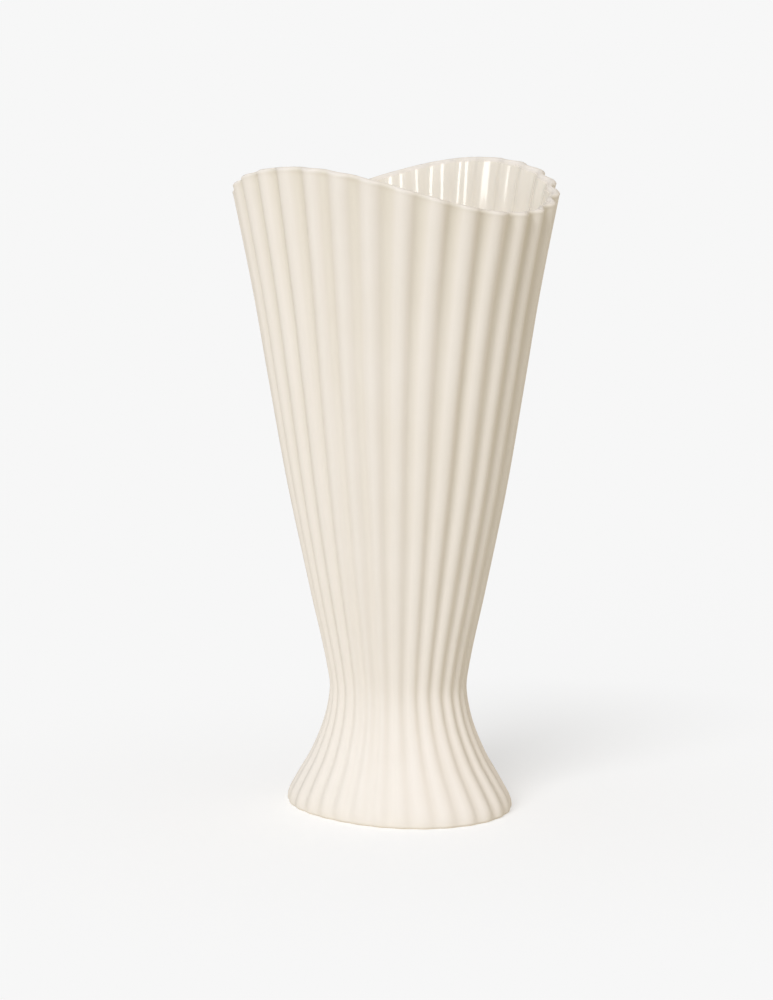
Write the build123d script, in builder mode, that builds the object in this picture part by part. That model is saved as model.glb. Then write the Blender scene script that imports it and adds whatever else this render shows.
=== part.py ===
from build123d import *
from math import cos, pi, sin
import os

# A fan vase of slip-cast stoneware, ribbed all round from the lip to the foot, with a glossy glaze inside.
# Lengths are in millimetres. +Z is up, +X runs along the long axis of the oval mouth, and the origin is
# the centre of the resting face.

# Outline of the vase, crest to crest. A radius is the mean of the oval's long and short half widths.
height = 300.0
waist_height = 57.0
foot_radius = 51.2
waist_radius = 31.9
mouth_radius = 74.4
foot_edge_round = 1.6

# How far the oval is drawn out, as a share of the radius: added to it along X and taken off it along Y.
foot_oval_share = 0.111
waist_oval_share = 0.03
mouth_oval_share = 0.141

# The foot's flare, from the bottom up to the waist: a share of the waist's height, then a share of the
# radius that the foot has over the waist.
foot_flare_shares = (
    (0.09, 0.98),
    (0.25, 0.746),
    (0.42, 0.472),
    (0.63, 0.212),
    (0.81, 0.065),
    (1, 0),
)

# The cup, from the waist up to where its sections stop being level: a share of that height, then a share
# of the radius that the mouth has over the waist.
cup_flare_shares = (
    (0.05, 0.027),
    (0.126, 0.089),
    (0.235, 0.193),
    (0.508, 0.426),
    (0.781, 0.615),
    (1, 0.762),
)

# The rim is highest in the middle of the two broad faces and dips to the two ends of the oval. Over the
# last stretch, the wave run, each section of the cup follows the rim, at these shares of the run below it.
rim_dip = 20.9
wave_run = 39.1
wave_shares = (0.66, 0.33, 0.18, 0.1)

# Ribs, each a round crest, with a slightly narrower round groove between two of them. A crest stands at
# both ends of the oval. The groove's width is a share of a rib's, and its depth a share of the radius.
rib_count = 30
groove_width_share = 0.46
groove_depth_share = 0.034

# The depth that the grooves keep at the foot's edge, low on its flare and at the lip, as shares of the full
# depth, which they have from the waist to just below the lip.
edge_groove_share = 0.35
flare_groove_share = 0.75
lip_groove_share = 0.65

# The clay wall with its rounded lip, which takes this many steps over the top, the floor, and the recess
# below that leaves a ring to stand on.
wall = 4.2
lip_steps = 6
floor_thickness = 6.0
floor_round = 4.0
recess_depth = 3.0
recess_round = 1.2
foot_ring_width = 8.0

# Inside, the ribs lie in phase with those outside, and the cast clay fills them towards the waist. These
# are shares of the full depth outside.
inner_mouth_groove_share = 0.8
inner_waist_groove_share = 0.1

# Glaze poured inside, up to where the lip starts to round.
glaze_thickness = 0.4

# Places that follow from the sizes above.
lip_round = wall / 2
flare_level = waist_height * foot_flare_shares[0][0]
level_height = height - rim_dip - wave_run
floor_height = recess_depth + floor_thickness
quarter_turn_shares = (0, 1 / 3, 2 / 3)


def between(start, end, share):
    return start + (end - start) * share


def oval_point(radius, oval_share, turn, inset=0):
    # Equal turns give equal steps along the oval's outline, so all ribs are equally wide.
    angle = turn - oval_share / 2 * sin(2 * turn)
    reach = radius * (1 + oval_share * cos(2 * angle)) - inset
    return reach * cos(angle), reach * sin(angle)


def ribbed_ring(section, inset, depth):
    # A closed wire of round crests and grooves, with the same slope where they meet. section gives the
    # level, radius and oval share at a turn about the axis, and inset moves the wire inwards.
    join_share = 1 - groove_width_share
    crest_edge = join_share / 2
    crest = ((-crest_edge, join_share), (0, 0), (crest_edge, join_share))
    groove = ((crest_edge, join_share), (1 / 2, 1), (1 - crest_edge, join_share))

    def point(ribs, sunk_share):
        turn = 2 * pi * ribs / rib_count
        level, radius, oval_share = section(turn)
        return (*oval_point(radius, oval_share, turn, inset + depth * sunk_share), level)

    with BuildLine() as ring:
        for rib in range(rib_count):
            for bend in (crest, groove):
                ThreePointArc(*(point(rib + along, sunk_share) for along, sunk_share in bend))
    return ring.wire()


# Level sections of the outside: level, radius and oval share
foot_sections = [
    (
        waist_height * up,
        between(waist_radius, foot_radius, out),
        between(waist_oval_share, foot_oval_share, out),
    )
    for up, out in foot_flare_shares
]
cup_sections = [
    (
        between(waist_height, level_height, up),
        between(waist_radius, mouth_radius, out),
        between(waist_oval_share, mouth_oval_share, out),
    )
    for up, out in cup_flare_shares
]
level_sections = foot_sections + cup_sections
mouth_flare = (mouth_radius - cup_sections[-1][1]) / (height - level_height)


def rim_section(below_rim):
    # The section that keeps one distance below the wavy rim, on the cone of the upper cup.
    def section(turn):
        across_share = oval_point(1, mouth_oval_share, turn)[0] / oval_point(1, mouth_oval_share, 0)[0]
        level = height - rim_dip * across_share**2 - below_rim
        radius = mouth_radius - mouth_flare * (height - level)
        out = (radius - waist_radius) / (mouth_radius - waist_radius)
        return level, radius, between(waist_oval_share, mouth_oval_share, out)

    return section


def level_ring(level, radius, oval_share, inset, depth):
    return ribbed_ring(lambda turn: (level, radius, oval_share), inset, depth)


def section_at(level):
    # The outside's section at a level between two of those listed.
    for low, high in zip(level_sections, level_sections[1:]):
        if low[0] <= level <= high[0]:
            up = (level - low[0]) / (high[0] - low[0])
            return [between(start, end, up) for start, end in zip(low, high)]


def groove_depth(level, radius):
    if level < flare_level:
        share = between(edge_groove_share, flare_groove_share, level / flare_level)
    else:
        up = min(1, (level - flare_level) / (waist_height - flare_level))
        share = between(flare_groove_share, 1, up)
    return radius * groove_depth_share * share


def inner_depth(level, radius):
    # The grooves inside fade from the mouth down to the waist, and stay shallow below it.
    up = max(0, (level - waist_height) / (level_height - waist_height))
    return radius * groove_depth_share * between(inner_waist_groove_share, inner_mouth_groove_share, up)


# The outside, from the rounded edge of the foot up to the lip
outside = []
for share in quarter_turn_shares:
    round_angle = pi / 2 * share
    level = foot_edge_round * (1 - cos(round_angle))
    inset = foot_edge_round * (1 - sin(round_angle))
    depth = groove_depth(level, foot_radius)
    outside.append(level_ring(level, foot_radius, foot_oval_share, inset, depth))
for level, radius, oval_share in level_sections:
    outside.append(level_ring(level, radius, oval_share, 0, groove_depth(level, radius)))
mouth_depth = groove_depth(height, mouth_radius)
for share in wave_shares:
    outside.append(ribbed_ring(rim_section(wave_run * share), 0, mouth_depth))

# The lip, half a turn over the top of the wall
lip_depths = (mouth_depth * lip_groove_share, mouth_depth * lip_groove_share * inner_mouth_groove_share)
lip = []
for step in range(lip_steps + 1):
    round_angle = pi * step / lip_steps
    below_rim = lip_round * (1 - sin(round_angle))
    inset = lip_round * (1 - cos(round_angle))
    lip.append(ribbed_ring(rim_section(below_rim), inset, between(*lip_depths, step / lip_steps)))
outside.append(lip[0])


def inside(cover):
    # The rings inside, from the lip down to the edge of the floor, covered by that much glaze.
    rings = [ribbed_ring(rim_section(lip_round), wall + cover, lip_depths[1])]
    for share in reversed(wave_shares):
        rings.append(
            ribbed_ring(rim_section(wave_run * share), wall + cover, mouth_depth * inner_mouth_groove_share)
        )
    corner_level = floor_height + floor_round
    for level, radius, oval_share in reversed(level_sections):
        if level > corner_level + floor_round:
            rings.append(level_ring(level, radius, oval_share, wall + cover, inner_depth(level, radius)))
    corner_section = section_at(corner_level)
    for share in (*quarter_turn_shares, 1):
        round_angle = pi / 2 * share
        level = corner_level + cover - floor_round * sin(round_angle)
        inset = wall + cover + floor_round * (1 - cos(round_angle))
        rings.append(level_ring(level, *corner_section[1:], inset, inner_depth(level, corner_section[1])))
    return rings


def skin(rings, ruled=False):
    return Shell.make_loft(rings, ruled).faces()


clay_inside = inside(0)
with BuildPart() as stoneware_body:
    clay_skins = [*skin(outside), *skin(lip), *skin(clay_inside)]
    add(Solid(Shell([*clay_skins, Face(outside[0]), Face(clay_inside[-1])])))
    with BuildSketch(Plane.XY) as recess:
        Ellipse(
            foot_radius * (1 + foot_oval_share) - foot_ring_width,
            foot_radius * (1 - foot_oval_share) - foot_ring_width,
        )
    extrude(amount=recess_depth, mode=Mode.SUBTRACT)
    recess_roof = faces().filter_by(Plane.XY).sort_by(Axis.Z)[1]
    fillet(recess_roof.edges(), radius=recess_round)

glaze_inside = inside(glaze_thickness)
with BuildPart() as interior_glaze:
    glaze_edge = skin([clay_inside[0], glaze_inside[0]], ruled=True)
    glaze_skins = [*skin(clay_inside), *skin(glaze_inside), *glaze_edge]
    add(Solid(Shell([*glaze_skins, Face(clay_inside[-1]), Face(glaze_inside[-1])])))

os.makedirs("parts", exist_ok=True)
stoneware_body.part.label = "stoneware_body"
export_step(stoneware_body.part, "parts/stoneware_body.step")
interior_glaze.part.label = "interior_glaze"
export_step(interior_glaze.part, "parts/interior_glaze.step")
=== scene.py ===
from bisect import bisect_right
from math import atan2, cos, hypot, pi, radians, sin

import bpy
from mathutils import Euler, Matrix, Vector, noise


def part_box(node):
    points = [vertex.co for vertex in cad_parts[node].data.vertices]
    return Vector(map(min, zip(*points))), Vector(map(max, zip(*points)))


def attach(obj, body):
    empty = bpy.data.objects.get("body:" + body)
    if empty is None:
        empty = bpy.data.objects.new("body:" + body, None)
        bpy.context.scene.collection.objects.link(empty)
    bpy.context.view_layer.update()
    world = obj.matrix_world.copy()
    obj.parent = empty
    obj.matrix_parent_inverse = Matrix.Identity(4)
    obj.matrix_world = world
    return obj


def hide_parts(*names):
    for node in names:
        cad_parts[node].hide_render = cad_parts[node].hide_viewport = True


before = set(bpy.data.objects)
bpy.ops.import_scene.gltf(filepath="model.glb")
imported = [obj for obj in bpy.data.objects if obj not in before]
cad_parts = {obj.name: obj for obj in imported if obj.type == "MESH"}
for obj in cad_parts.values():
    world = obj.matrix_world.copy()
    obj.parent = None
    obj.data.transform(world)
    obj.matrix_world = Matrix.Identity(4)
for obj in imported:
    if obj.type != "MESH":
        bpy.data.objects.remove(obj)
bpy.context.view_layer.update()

# The vase's body: one wall of cream stoneware, slip-cast in a fluted plaster mould, so that lip, cup, waist
# and foot are a single piece. Its wavy lip was trimmed and sponged round while the clay was still soft, and
# it was fired without a glaze outside. Here it is turned, then fluted, drawn out to an oval and trimmed.
mm = 0.001
touching = mm / 100
body_low, body_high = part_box("stoneware_body")
vase_height = body_high.z - body_low.z
wall = 4.2 * mm
floor_level = 9 * mm
floor_round = 4 * mm
recess_depth = 3 * mm
recess_round = 1.2 * mm
foot_ring_width = 8 * mm
foot_ring_flat = 3 * mm
recess_margin = 4 * mm
floor_margin = 8 * mm
floor_middle = 10 * mm
foot_ring_chamfer = 0.4 * mm
foot_edge_round = 1.6 * mm
smooth_angle = radians(50)
rim_dip = 20.2 * mm
wave_depth = 25 * mm
wave_run = 35 * mm
foot_radius = 51.2 * mm
waist_radius = 31.9 * mm
mouth_radius = 74.9 * mm
flare_level = 5.1 * mm
waist_level = 57 * mm
upper_cup_level = 240 * mm
cup_flare = mouth_radius - waist_radius

# The outline, as level and mean radius from the foot up to the mouth, at the crests of the ribs
outline = [
    (0 * mm, foot_radius),
    (flare_level, 50.8 * mm),
    (14.3 * mm, 46.3 * mm),
    (23.9 * mm, 41 * mm),
    (35.9 * mm, 36 * mm),
    (46.2 * mm, 33.15 * mm),
    (waist_level, waist_radius),
    (66.2 * mm, 33.05 * mm),
    (80 * mm, 35.7 * mm),
    (100 * mm, 40.1 * mm),
    (150 * mm, 50 * mm),
    (200 * mm, 58.05 * mm),
    (upper_cup_level, 64.2 * mm),
    (vase_height, mouth_radius),
]
outline_levels = [level for level, radius in outline]

# The sections of the mesh lie closest at the lip and on the foot, and wider apart over the cup between
foot_step = 2.5 * mm
cup_step = 6 * mm
lip_step = 1.5 * mm
inside_foot_step = 4 * mm
coarse_from = 70 * mm
coarse_to = 286 * mm

# How far the oval is drawn out along X and in along Y, as a share of the radius
foot_oval_share = 0.111
waist_oval_share = 0.03
mouth_oval_share = 0.131

# Ribs: a round crest each, with a narrower groove between two of them. The groove's width is a share of the
# rib's, its depth a share of the radius, and inside, or on the lip, a share of that depth. The ribs are
# equally wide up to the gather level, and from there gather a little towards the two ends of the mouth.
rib_count = 30
steps_per_rib = 12
even_ribs = 0.5
gathered_ribs = 0.69
gather_level = 200 * mm
groove_width_share = 0.46
mouth_groove_share = 0.045
cup_groove_share = 0.034
foot_groove_share = 0.0255
edge_groove_share = 0.012
inner_mouth_groove_share = 0.8
inner_waist_groove_share = 0.1
lip_groove_share = 0.8
lip_fade = 3 * mm

# Ribs made by hand are not quite alike: each wanders by up to a share of its width, and its groove is up to
# a share deeper or shallower. Both follow a noise, read round a circle so wide that it changes about once
# from one rib to the next, and once over the rise. The depth reads it in another place than the wander does.
wander_share = 0.06
uneven_share = 0.14
noise_radius = 4.5
noise_rise = 90 * mm
other_place = Vector((7, 3, 11))


def outline_radius(level):
    """The mean radius of the crests at a level, on a smooth line through the outline's points."""
    spot = min(max(bisect_right(outline_levels, level), 1), len(outline) - 1)
    (low, low_radius), (high, high_radius) = outline[spot - 1:spot + 1]

    def lean(index):
        start, start_radius = outline[max(index - 1, 0)]
        end, end_radius = outline[min(index + 1, len(outline) - 1)]
        return (end_radius - start_radius) / (end - start)

    run = high - low
    up = (level - low) / run
    return (
        (2 * up**3 - 3 * up**2 + 1) * low_radius
        + (up**3 - 2 * up**2 + up) * run * lean(spot - 1)
        + (3 * up**2 - 2 * up**3) * high_radius
        + (up**3 - up**2) * run * lean(spot)
    )


def between(start, end, share):
    """The value a share of the way from start to end, and never past them."""
    return start + (end - start) * min(max(share, 0), 1)


def turned(name, section):
    """Spins a half section, given as radius and level, about the vase's axis."""
    bpy.ops.object.select_all(action="DESELECT")
    bpy.ops.mesh.primitive_plane_add(size=mm, location=(section[0][0], 0, section[0][1]))
    piece = bpy.context.object
    piece.name = piece.data.name = name
    bpy.ops.object.transform_apply(location=True)
    bpy.ops.object.mode_set(mode="EDIT")
    bpy.ops.mesh.merge(type="CENTER")
    for (radius, level), (next_radius, next_level) in zip(section, section[1:]):
        step = (next_radius - radius, 0, next_level - level)
        bpy.ops.mesh.extrude_region_move(TRANSFORM_OT_translate={"value": step})
    bpy.ops.mesh.select_all(action="SELECT")
    bpy.ops.mesh.spin(steps=rib_count * steps_per_rib, angle=2 * pi, center=(0, 0, 0), axis=(0, 0, 1))
    bpy.ops.mesh.select_all(action="SELECT")
    bpy.ops.mesh.remove_doubles(threshold=touching)
    bpy.ops.mesh.normals_make_consistent(inside=False)
    bpy.ops.object.mode_set(mode="OBJECT")
    return piece


def levels_between(start, end, step):
    """Evenly spaced levels after start, up to and with end."""
    count = max(1, round(abs(end - start) / step))
    return [start + (end - start) * index / count for index in range(1, count + 1)]


def groove_shape(ribs):
    """How deep the surface lies, from 0 on a crest to 1 in a groove: two arcs that meet with one slope."""
    off = abs(ribs % 1 - 0.5)
    edge = groove_width_share / 2
    join = 1 - groove_width_share
    if off < edge:
        return 1 - (1 - join) * (off / edge) ** 2
    return join * ((0.5 - off) / (0.5 - edge)) ** 2


def outer_groove_share(level):
    """The depth of the grooves outside as a share of the radius, from the foot's edge up to the lip."""
    if level < flare_level:
        return between(edge_groove_share, foot_groove_share, level / flare_level)
    if level < waist_level:
        up = (level - flare_level) / (waist_level - flare_level)
        return between(foot_groove_share, cup_groove_share, up)
    up = (level - waist_level) / (vase_height - waist_level)
    return between(cup_groove_share, mouth_groove_share, up)


def inner_groove_share(level):
    """The same inside, where the cast clay fills the grooves towards the waist."""
    up = (level - waist_level) / (upper_cup_level - waist_level)
    return cup_groove_share * between(inner_waist_groove_share, inner_mouth_groove_share, up)


def oval_at(level):
    """How far the oval is drawn out at a level."""
    if level < waist_level:
        return between(foot_oval_share, waist_oval_share, level / waist_level)
    out = (outline_radius(level) - waist_radius) / cup_flare
    return between(waist_oval_share, mouth_oval_share, out)


def rib_angle(turn, oval_share, level):
    """Where a rib that stands at an even turn about the axis lies on the oval."""
    up = (level - gather_level) / (vase_height - gather_level)
    gather = between(even_ribs, gathered_ribs, up)
    return turn - gather * oval_share * sin(2 * turn)


def fluted(piece):
    """Presses the ribs, draws the rounds out to ovals, and lowers the lip at both ends of the oval.

    Each point keeps how deep it lies in a groove, as the attribute hollow, which the clay's colour reads for
    painted shade in the grooves.
    """
    hollow = piece.data.attributes.new("hollow", "FLOAT", "POINT")
    for vertex in piece.data.vertices:
        x, y, level = vertex.co
        reach = hypot(x, y)
        if reach < touching:
            continue
        turn = atan2(y, x)
        inset = outline_radius(level) - reach
        below_lip = vase_height - level

        # The lip's wave follows the slope of the cup, and runs out where the cup's sections are level
        lip_angle = rib_angle(turn, mouth_oval_share, vase_height)
        across = cos(lip_angle) * (1 + mouth_oval_share * cos(2 * lip_angle)) / (1 + mouth_oval_share)
        level -= rim_dip * across**2 * between(1, 0, (below_lip - wave_depth) / wave_run)
        crest = outline_radius(level)

        # The ribs, which run out towards the middle of the floor
        place = Vector((cos(turn) * noise_radius, sin(turn) * noise_radius, level / noise_rise))
        ribs = turn / (2 * pi) * rib_count + wander_share * noise.noise(place)
        uneven = 1 + uneven_share * noise.noise(place + other_place)
        outer = crest * outer_groove_share(level)
        inner = crest * inner_groove_share(level) * min(1, (crest - inset) / (crest - wall))
        depth = between(outer, inner, inset / wall) * uneven
        depth *= between(lip_groove_share, 1, below_lip / lip_fade)
        hollow.data[vertex.index].value = depth * groove_shape(ribs)
        reach = crest - inset - hollow.data[vertex.index].value

        # The oval
        oval_share = oval_at(level)
        angle = rib_angle(turn, oval_share, level)
        reach += crest * oval_share * cos(2 * angle) * min(1, reach / (crest - wall))
        vertex.co = (reach * cos(angle), reach * sin(angle), level)
    piece.data.update()


def smooth(piece):
    """Shades the piece smooth, save across edges sharper than the angle."""
    bpy.ops.object.select_all(action="DESELECT")
    piece.select_set(True)
    bpy.context.view_layer.objects.active = piece
    bpy.ops.object.shade_smooth_by_angle(angle=smooth_angle)


def quarter_round(radius, level, size, start, end, steps=4):
    """Points on a round about a centre, from one angle to another, the first one left out."""
    angles = [start + (end - start) * index / steps for index in range(1, steps + 1)]
    return [(radius + size * cos(angle), level + size * sin(angle)) for angle in angles]


# Half a section, from the middle of the recess round the foot and up, over the lip, and down to the floor.
# The recess and the floor have points on the flat too, so that the ribs run out evenly there.
lip_round = wall / 2
lip_level = vase_height - lip_round
recess_radius = foot_radius - foot_ring_width
under = [(radius, recess_depth) for radius in (0, recess_radius / 2, recess_radius - recess_margin)]
under += quarter_round(recess_radius - recess_round, recess_depth - recess_round, recess_round, pi / 2, 0)
under += [(recess_radius, foot_ring_chamfer), (recess_radius + foot_ring_chamfer, 0)]
under += [(recess_radius + foot_ring_flat, 0)]
under += quarter_round(foot_radius - foot_edge_round, foot_edge_round, foot_edge_round, -pi / 2, 0, steps=6)
outside_levels = levels_between(foot_edge_round, coarse_from, foot_step)
outside_levels += levels_between(coarse_from, coarse_to, cup_step)
outside_levels += levels_between(coarse_to, lip_level, lip_step)
outside = [(outline_radius(level), level) for level in outside_levels]
lip = quarter_round(mouth_radius - lip_round, lip_level, lip_round, 0, pi, steps=10)
inside_levels = levels_between(lip_level, coarse_from, cup_step)
inside_levels += levels_between(coarse_from, floor_level + floor_round, inside_foot_step)
inside = [(outline_radius(level) - wall, level) for level in inside_levels]
corner_radius, corner_level = inside[-1]
floor_radii = (corner_radius - floor_round - floor_margin, floor_middle, 0)
floor_line = quarter_round(corner_radius - floor_round, corner_level, floor_round, 0, -pi / 2)
floor_line += [(radius, floor_level) for radius in floor_radii]
body = turned("stoneware_vase_body", under + outside + lip + inside + floor_line)
fluted(body)
smooth(body)


def linear(hex_colour):
    """An sRGB hex colour as the linear colour that a shader takes."""
    parts = [int(hex_colour[place:place + 2], 16) / 255 for place in (1, 3, 5)]
    return [part / 12.92 if part <= 0.04045 else ((part + 0.055) / 1.055) ** 2.4 for part in parts] + [1]


def add_node(tree, kind, settings=None, **links):
    """A node with its settings, and its named inputs linked to sockets or set to values."""
    node = tree.nodes.new(kind)
    for name, value in (settings or {}).items():
        setattr(node, name, value)
    for name, value in links.items():
        socket = node.inputs[name.replace("_", " ")]
        if isinstance(value, bpy.types.NodeSocket):
            tree.links.new(value, socket)
        else:
            socket.default_value = value
    return node


def new_material(name):
    material = bpy.data.materials.new(name)
    material.use_nodes = True
    return material, material.node_tree, material.node_tree.nodes["Principled BSDF"]


# Bisque stoneware, slip-cast and sponged: dead matt and cream, with a dry grain, drawn coarser than the
# real one so that it shows, and faint warm clouds where the slip settled. The grooves get painted shade:
# their colour is darkened and warmed, not at all where they are shallower than one depth, fully past
# another.
cloud_width = 38 * mm
grain_width = 0.9 * mm
grain_height = 0.03 * mm
painted_shade_start_depth = 1.1 * mm
painted_shade_full_depth = 3.3 * mm
stoneware, tree, shader = new_material("bisque_stoneware")
place = add_node(tree, "ShaderNodeTexCoord").outputs["Object"]
clouds = add_node(tree, "ShaderNodeTexNoise", Vector=place, Scale=1 / cloud_width)
clouds.inputs["Detail"].default_value = 3
clouds.inputs["Roughness"].default_value = 0.55
grain = add_node(tree, "ShaderNodeTexNoise", Vector=place, Scale=1 / grain_width)
grain.inputs["Detail"].default_value = 2
grain.inputs["Roughness"].default_value = 0.6
body_colour = add_node(tree, "ShaderNodeMix", {"data_type": "RGBA"}, Factor=clouds.outputs["Fac"])
body_colour.inputs[6].default_value = linear("#E7DCCC")
body_colour.inputs[7].default_value = linear("#ECE2D5")
hollow = add_node(tree, "ShaderNodeAttribute", {"attribute_name": "hollow"}).outputs["Fac"]
# Painted shade: the clay's colour is multiplied by a darker, warmer tone in the grooves, more the deeper
# they lie
painted_groove_shade = add_node(tree, "ShaderNodeMapRange", Value=hollow)
painted_groove_shade.inputs["From Min"].default_value = painted_shade_start_depth
painted_groove_shade.inputs["From Max"].default_value = painted_shade_full_depth
painted_groove_shade_colour = add_node(tree, "ShaderNodeMix", {"data_type": "RGBA", "blend_type": "MULTIPLY"})
tree.links.new(painted_groove_shade.outputs["Result"], painted_groove_shade_colour.inputs["Factor"])
tree.links.new(body_colour.outputs[2], painted_groove_shade_colour.inputs[6])
painted_groove_shade_colour.inputs[7].default_value = linear("#F3F2EC")
tree.links.new(painted_groove_shade_colour.outputs[2], shader.inputs["Base Color"])
shader.inputs["Roughness"].default_value = 0.6
shader.inputs["IOR"].default_value = 1.5
shader.inputs["Specular IOR Level"].default_value = 0.4
dry = add_node(tree, "ShaderNodeBump", Height=grain.outputs["Fac"], Distance=grain_height, Strength=0.2)
tree.links.new(dry.outputs["Normal"], shader.inputs["Normal"])
body.data.materials.append(stoneware)
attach(body, "root")
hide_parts("stoneware_body")

# The glaze inside: a clear gloss glaze poured into the cup and out again, so it covers the wall from the
# floor up to where the lip starts to round. It is a thin glassy skin on the clay, and pools on the floor.
glaze_thickness = 0.4 * mm
glaze_round = floor_round - glaze_thickness
clay_wall = [(mouth_radius - wall, lip_level)] + inside
clay_side = clay_wall + floor_line
glaze_side = [(radius - glaze_thickness, level) for radius, level in clay_wall]
glaze_corner = corner_level + glaze_thickness
glaze_side += quarter_round(corner_radius - floor_round, glaze_corner, glaze_round, 0, -pi / 2)
glaze_side += [(radius, floor_level + 2 * glaze_thickness) for radius in floor_radii]
glaze = turned("interior_glaze_skin", clay_side[::-1] + glaze_side)
fluted(glaze)
smooth(glaze)

# A clear glaze over cream clay: the clay's cream a shade deeper under a smooth wet gloss
glaze_cloud_width = 30 * mm
gloss, tree, shader = new_material("clear_gloss_glaze_on_cream_clay")
place = add_node(tree, "ShaderNodeTexCoord").outputs["Object"]
clouds = add_node(tree, "ShaderNodeTexNoise", Vector=place, Scale=1 / glaze_cloud_width, Detail=2.0)
glaze_colour = add_node(tree, "ShaderNodeMix", {"data_type": "RGBA"}, Factor=clouds.outputs["Fac"])
glaze_colour.inputs[6].default_value = linear("#EBE1CE")
glaze_colour.inputs[7].default_value = linear("#F0E6D5")
tree.links.new(glaze_colour.outputs[2], shader.inputs["Base Color"])
shader.inputs["Roughness"].default_value = 0.13
shader.inputs["IOR"].default_value = 1.5
glaze.data.materials.append(gloss)
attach(glaze, "root")
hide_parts("interior_glaze")

# The floor: a wide sweep of matt white paper that runs on into the backdrop. It sends back a share of the
# light that falls on it, less of it further from the vase, and glows for the rest. So it is as white as the
# backdrop, with a faint shadow by the foot. The light it sends to the vase is warmer than it looks itself.
floor_side = 60
key_energy = 2.45
key_height = 32
key_tint = (0.94, 1, 1.12)
around_strength = 0.16
vase_bounce = 0.24
near_distance = 60 * mm
far_distance = 310 * mm
near_share = 0.54
far_share = 0.04
floor_bounce = (0.695, 0.68, 0.615, 1)
bpy.ops.object.select_all(action="DESELECT")
bpy.ops.mesh.primitive_plane_add(size=floor_side, location=(0, 0, 0))
floor = bpy.context.object
floor.name = "studio_floor"
paper, tree, shader = new_material("matt_white_paper")
backdrop_white = linear("#F7F7F7")
place = add_node(tree, "ShaderNodeTexCoord").outputs["Object"]
away = add_node(tree, "ShaderNodeVectorMath", {"operation": "LENGTH"})
tree.links.new(place, away.inputs[0])
share = add_node(tree, "ShaderNodeMapRange", Value=away.outputs["Value"])
share.inputs["From Min"].default_value = near_distance
share.inputs["From Max"].default_value = far_distance
share.inputs["To Min"].default_value = near_share
share.inputs["To Max"].default_value = far_share
paper_tint = add_node(tree, "ShaderNodeVectorMath", {"operation": "SCALE"}, Scale=share.outputs["Result"])
key_on_floor = key_energy / pi * sin(radians(key_height))
lit = [key_on_floor * part + around_strength for part in key_tint]
mean_lit = sum(lit) / len(lit)
paper_tint.inputs[0].default_value = [mean_lit / part for part in lit]
tree.links.new(paper_tint.outputs["Vector"], shader.inputs["Base Color"])
seen = add_node(tree, "ShaderNodeLightPath").outputs["Is Camera Ray"]
white = add_node(tree, "ShaderNodeMix", {"data_type": "RGBA"}, Factor=seen)
white.inputs[6].default_value = floor_bounce
white.inputs[7].default_value = backdrop_white
received = add_node(tree, "ShaderNodeMath", {"operation": "MULTIPLY_ADD"})
tree.links.new(share.outputs["Result"], received.inputs[0])
received.inputs[1].default_value = vase_bounce
received.inputs[2].default_value = mean_lit
given_back = add_node(tree, "ShaderNodeMath", {"operation": "MULTIPLY"})
tree.links.new(share.outputs["Result"], given_back.inputs[0])
tree.links.new(received.outputs["Value"], given_back.inputs[1])
glow = add_node(tree, "ShaderNodeVectorMath", {"operation": "SUBTRACT"})
tree.links.new(white.outputs[2], glow.inputs[0])
tree.links.new(given_back.outputs["Value"], glow.inputs[1])
tree.links.new(glow.outputs["Vector"], shader.inputs["Emission Color"])
shader.inputs["Emission Strength"].default_value = 1
shader.inputs["Roughness"].default_value = 1
shader.inputs["Specular IOR Level"].default_value = 0
floor.data.materials.append(paper)

# Light: a dim even glow all round, which the camera sees as a white backdrop, a broad soft key from the
# front left, wide fills from the right, the back left and behind that light the vase only, and a tall window
# that only gloss shows
world = bpy.data.worlds.new("soft_studio")
bpy.context.scene.world = world
world.use_nodes = True
tree = world.node_tree
around = tree.nodes["Background"]
around.inputs["Color"].default_value = (1, 1, 1, 1)
around.inputs["Strength"].default_value = around_strength
backdrop = add_node(tree, "ShaderNodeBackground", Color=backdrop_white, Strength=1.0)
seen = add_node(tree, "ShaderNodeLightPath").outputs["Is Camera Ray"]
mixed = add_node(tree, "ShaderNodeMixShader", Fac=seen)
tree.links.new(around.outputs["Background"], mixed.inputs[1])
tree.links.new(backdrop.outputs["Background"], mixed.inputs[2])
tree.links.new(mixed.outputs["Shader"], tree.nodes["World Output"].inputs["Surface"])

camera_azimuth = 43.6
sun_distance = 3
window_distance = 2.2
window_aim = Vector((0, 0, 250)) * mm


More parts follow.
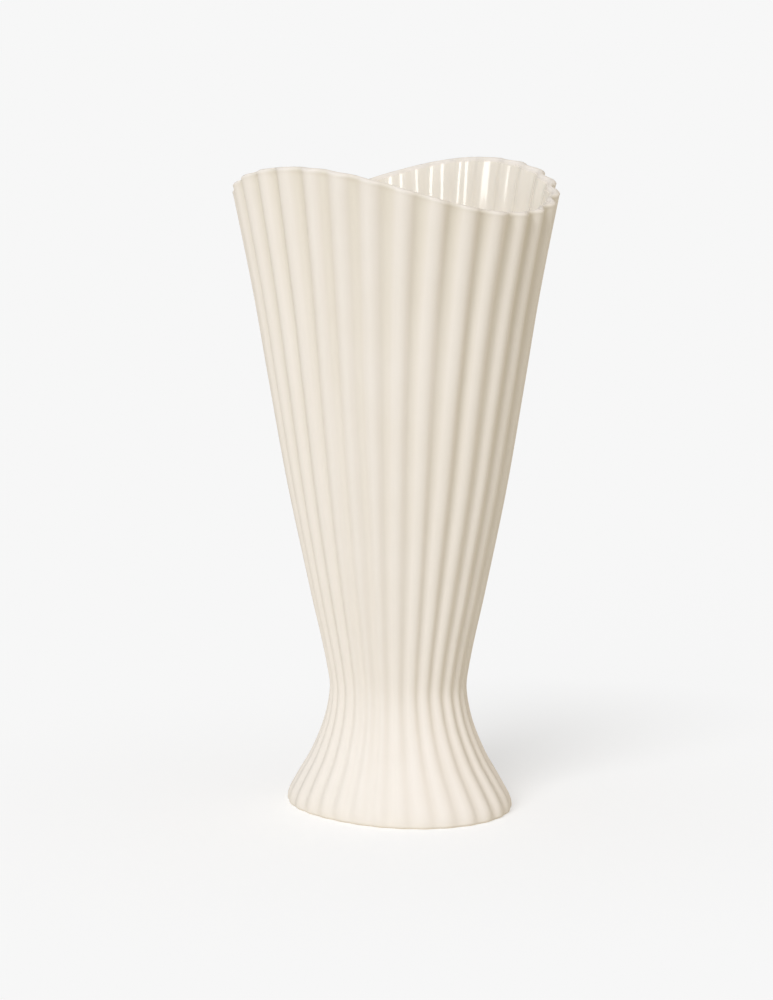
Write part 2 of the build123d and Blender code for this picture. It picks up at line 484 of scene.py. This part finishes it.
def seen_from(azimuth, height, distance):
    """A place so many degrees right of the camera and above the floor, at a distance from the foot."""
    turn = radians(camera_azimuth + azimuth)
    rise = radians(height)
    return Vector((sin(turn) * cos(rise), -cos(turn) * cos(rise), sin(rise))) * distance


def aim(thing, target):
    thing.rotation_euler = (target - thing.location).to_track_quat("-Z", "Y").to_euler()


def soft_sun(name, azimuth, height, energy, angle):
    bpy.ops.object.light_add(type="SUN", location=seen_from(azimuth, height, sun_distance))
    sun = bpy.context.object
    sun.name = name
    sun.data.energy = energy
    sun.data.angle = radians(angle)
    aim(sun, Vector((0, 0, 0)))
    return sun


key = soft_sun("soft_key", azimuth=-24, height=key_height, energy=key_energy, angle=32)
key.data.color = key_tint
key.visible_glossy = False
vase_only = bpy.data.collections.new("vase_only")
vase_only.objects.link(body)
vase_only.objects.link(glaze)
right_fill = soft_sun("right_fill", azimuth=84, height=38, energy=0.95, angle=60)
right_fill.data.color = (1, 0.94, 0.85)
left_fill = soft_sun("left_fill", azimuth=-115, height=36, energy=0.5, angle=60)
back_fill = soft_sun("back_fill", azimuth=160, height=8, energy=0.5, angle=30)
back_fill.visible_glossy = False
for fill in (right_fill, left_fill, back_fill):
    fill.light_linking.receiver_collection = vase_only

bpy.ops.object.light_add(type="AREA", location=seen_from(azimuth=-50, height=14, distance=window_distance))
window = bpy.context.object
window.name = "tall_window"
window.data.shape = "RECTANGLE"
window.data.size = 0.7
window.data.size_y = 1.6
window.data.energy = 28
aim(window, window_aim)
window.visible_diffuse = False

# The camera, at the photograph's height and distance, with its slight roll
camera_place = Vector((1044.57, -1096.47, 365.32)) * mm
camera_look = Vector((-0.68475, 0.71428, -0.14464))
camera_roll = radians(-0.435)
camera = bpy.data.objects.new("camera", bpy.data.cameras.new("camera"))
bpy.context.scene.collection.objects.link(camera)
camera.location = camera_place
turn = camera_look.to_track_quat("-Z", "Y") @ Euler((0, 0, camera_roll)).to_quaternion()
camera.rotation_euler = turn.to_euler()
camera.data.sensor_width = 36
camera.data.lens = 118.95
camera.data.clip_end = 100
bpy.context.scene.camera = camera
bpy.context.scene.view_settings.view_transform = "Standard"
